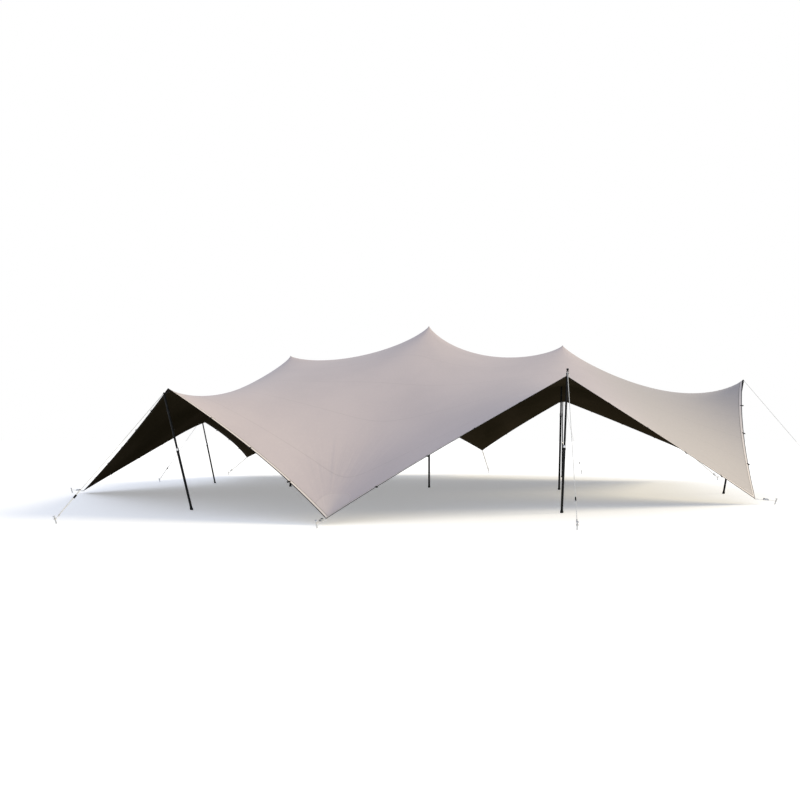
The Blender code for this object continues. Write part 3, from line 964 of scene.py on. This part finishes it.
def build_straps(finishes):
    """Each strap, through a steel ring at the hem, doubled to a ratchet and round its stake."""
    for name, corner in ANCHORS.items():
        ends = end_middles(f"{name}_strap", STRAP_SIDES)
        start, end = sorted(ends, key=lambda place: np.linalg.norm(place - corner))
        along = unit(end - start)
        across = unit(np.cross(along, UP))
        over = np.cross(across, along)
        over = over * np.sign(over[2])
        shape = Parts()
        ring = arc(start + along * RING_PLACE, over, across, RING_RADIUS, angles_round(32))
        shape.tube(ring, RING_WIRE, over, STEEL, looped=True)
        tab = np.array([(-0.020, 0.0036), (0.0, 0.0045), (0.012, 0.0058)])
        run = np.linspace(start + along * (RING_PLACE + RING_RADIUS), end, 24)
        for side in (1, -1):
            shape.ribbon(start + tab[:, :1] * along + tab[:, 1:] * over * side, across, STRAP_WIDTH, WEB)
            shape.ribbon(run + over * side * STRAP_PLY, across, STRAP_WIDTH, WEB)

        # The ratchet: two cheeks, two levers, the spool through them and the levers' handle.
        ratchet = end - along * RATCHET_PLACE
        for side in (-1, 1):
            cheek = ratchet + across * 0.029 * side + over * 0.006
            plate = cut_corners(0.004, 0.036)
            shape.bar(cheek - along * 0.06, cheek + along * 0.06, across, plate, STEEL)
            lever = ratchet + across * 0.022 * side + over * 0.026
            plate = cut_corners(0.003, 0.022)
            shape.bar(lever - along * 0.055, lever + along * 0.045, across, plate, STEEL)
        spool = ratchet + over * 0.008 - across * 0.034
        barrel = [(0.0, 0.009, STEEL), (0.002, 0.011, STEEL), (0.066, 0.011, STEEL), (0.068, 0.009, STEEL)]
        shape.turned(spool, across, barrel, 20)
        grip = ratchet + over * 0.036 - along * 0.048 - across * 0.026
        handle = [(0.0, 0.007, GRIP), (0.002, 0.009, GRIP), (0.05, 0.009, GRIP), (0.052, 0.007, GRIP)]
        shape.turned(grip, across, handle, 16)

        tie, stake_axis = on_line(end, *end_middles(f"{name}_anchor_stake", STAY_SIDES))
        band = arc(tie, stake_axis, across, STAKE_RADIUS + 0.002, np.linspace(0, 2 * np.pi, 25))
        shape.ribbon(band, stake_axis, STRAP_WIDTH * 0.9, WEB)
        made = shape.piece(f"{name}_strap_woven", [finishes["web"], finishes["steel"], finishes["rubber"]])
        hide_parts(f"{name}_strap")


def beside_peak(middle, name, turn):
    """A point of the hem beside a peak, at the tie's spread, with the directions there along the
    hem, into the sheet and up from it."""
    columns, rows = NETS[-1]
    place = np.array(grid_place(name, columns, rows))
    on_side = place[1] in (0, rows)
    along = np.array((turn, 0) if on_side else (0, turn))
    deeper = np.array((0, 1) if on_side else (1, 0)) * np.where(place == 0, 1, -1)
    steps = (0 * along, along, deeper, along + deeper)
    pin, beside, inner, inner_beside = (middle[tuple(place + step)] for step in steps)
    share = TIE_SPREAD / np.linalg.norm(beside - pin)
    edge = pin + (beside - pin) * share
    hem = unit(beside - pin)
    into = unit(inner + (inner_beside - inner) * share - edge)
    over = unit(np.cross(hem, into))
    return edge, hem, into, over * np.sign(over[2])


def build_peak_ties(middle, finishes):
    """A bridle of webbing at each hem peak: a band round the pole's neck, and two legs that end
    sewn flat to the sheet beside the peak. A leg follows the sheet's skin over the hem, and then a
    quadratic curve to the band. At a bare neck the bridle is dark and sewn on underneath."""
    seam = np.array([(TIE_SEAM, 0.004), (0.035, 0.005), (0.012, 0.008), (-0.002, 0.009)])
    part = np.linspace(0, 1, 14)[1:, None]
    for name in SIDE_PEAKS:
        _, _, neck, pole_axis = guy_line(name)
        seat = neck - pole_axis * BAND_DROP
        away = crosswise(pole_axis, seat - middle[grid_place(name, *NETS[-1])])
        band = arc(seat, pole_axis, away, NECK_RADIUS + 0.0015, np.linspace(-0.5, 0.5, 21) * np.pi)
        shape = Parts()
        shape.ribbon(band, pole_axis, TIE_WIDTH, 1)
        for turn in (1, -1):
            edge, hem, into, over = beside_peak(middle, name, turn)
            over = -over if name in BARE_NECKS else over
            flat = edge + seam[:, :1] * into + seam[:, 1:] * over
            end = band[0] if (band[0] - band[-1]) @ hem > 0 else band[-1]
            bow = flat[-1] + (flat[-1] - flat[-2]) * LEG_BOW
            curve = flat[-1] * (1 - part) ** 2 + 2 * bow * part * (1 - part) + end * part**2
            ways = np.concatenate([np.tile(hem, (len(flat), 1)), hem * (1 - part) + pole_axis * part])
            shape.ribbon(np.concatenate([flat, curve]), ways, TIE_WIDTH)
        dark = finishes["dark_web"]
        legs = dark if name in BARE_NECKS else finishes["web"]
        shape.piece(f"{name}_peak_tie", [legs, dark])


def build_stakes(finishes):
    """Forged pins with a head burred over by the hammer."""
    at_guys = [f"{name}_guy_stake" for name in SIDE_PEAKS]
    at_straps = [f"{name}_anchor_stake" for name in ANCHORS]
    for name in at_guys + at_straps:
        low, high = end_middles(name, STAY_SIDES)
        length = np.linalg.norm(high - low)
        profile = [(0.004, 0.0132, 0), (0.010, STAKE_RADIUS, 0), (length - 0.020, STAKE_RADIUS, 0)]
        profile += [(length - 0.016, 0.017, 0), (length - 0.014, 0.026, 0)]
        profile += [(length - 0.010, 0.0285, 0), (length - 0.004, 0.0275, 0)]
        profile += [(length - 0.001, 0.022, 0), (length, 0.008, 0)]
        shape = Parts()
        shape.turned(low, unit(high - low), profile, 28)
        made = shape.piece(f"{name}_pin", [finishes["steel"]])
        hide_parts(name)


# Stage, light and camera


def build_stage():
    """A plain pale floor that glows a little, so that it is seen as pale as the surround. The glow is
    painted light: it keeps the tent's shadow on the floor pale.
    """
    made, nodes, shader = new_finish("floor", roughness=0.95, gloss=0.1)
    drift = nodes.step(nodes.noise(nodes.add("TexCoord", output=3), 0.15), 0.3, 0.7)
    nodes.give(shader.inputs["Base Color"], nodes.mix(drift, (0.80, 0.80, 0.80), (0.82, 0.82, 0.82)))
    # Painted light: the floor's glow lifts the shade under the tent.
    shader.inputs["Emission Color"].default_value = (1.0, 1.0, 1.0, 1.0)
    shader.inputs["Emission Strength"].default_value = 0.34
    mesh = bpy.data.meshes.new("floor")
    far, low = 500.0, -0.002
    corners = [(-far, -far, low), (far, -far, low), (far, far, low), (-far, far, low)]
    mesh.from_pydata(corners, [], [(0, 1, 2, 3)])
    mesh.materials.append(made)
    floor = bpy.data.objects.new("floor", mesh)
    bpy.context.scene.collection.objects.link(floor)


def build_light():
    """A white surround that lights a little cool, and a wide warm lamp from the right."""
    world = bpy.data.worlds.new("studio")
    bpy.context.scene.world = world
    world.use_nodes = True
    nodes = Nodes(world.node_tree)
    surround = world.node_tree.nodes["Background"]
    surround.inputs["Color"].default_value = (0.78, 0.85, 1.0, 1.0)
    surround.inputs["Strength"].default_value = 0.79
    seen = nodes.add("Background", (1.0, 1.0, 1.0), 1.0)
    mixed = nodes.add("MixShader", nodes.add("LightPath"), surround.outputs[0], seen)
    nodes.give(world.node_tree.nodes["World Output"].inputs["Surface"], mixed)
    lamp = bpy.data.lights.new("key", "SUN")
    lamp.energy = 2.8
    lamp.angle = 0.5
    lamp.color = (1.0, 0.855, 0.56)
    made = bpy.data.objects.new("key", lamp)
    made.rotation_euler = (-0.10, 1.04, CAMERA_TURN)
    bpy.context.scene.collection.objects.link(made)


def build_camera():
    """The photograph's view, level and turned a little to the left."""
    camera = bpy.data.cameras.new("photo")
    camera.sensor_width = 36.0
    camera.lens = FOCAL_SHARE * camera.sensor_width
    camera.shift_y = HORIZON_DROP
    camera.clip_end = 1500.0
    made = bpy.data.objects.new("photo", camera)
    made.location = CAMERA_PLACE
    made.rotation_euler = (np.pi / 2, 0.0, CAMERA_TURN)
    bpy.context.scene.collection.objects.link(made)
    bpy.context.scene.camera = made
    bpy.context.scene.view_settings.view_transform = "Standard"


def build_scene():
    finishes = make_finishes()
    middle = rigged_sheet()
    sheet = build_sheet(middle, [finishes["top"], finishes["under"]])
    tape, loops = build_hem(middle, finishes)
    build_poles(middle, finishes)
    build_guys(finishes)
    build_straps(finishes)
    build_peak_ties(middle, finishes)
    build_stakes(finishes)
    held_by = [f"{name}_pole_upper" for name in (*CENTRE_PEAKS, *SIDE_PEAKS)]
    held_by += [f"{name}_strap" for name in ANCHORS]
    build_stage()
    build_light()
    build_camera()


build_scene()
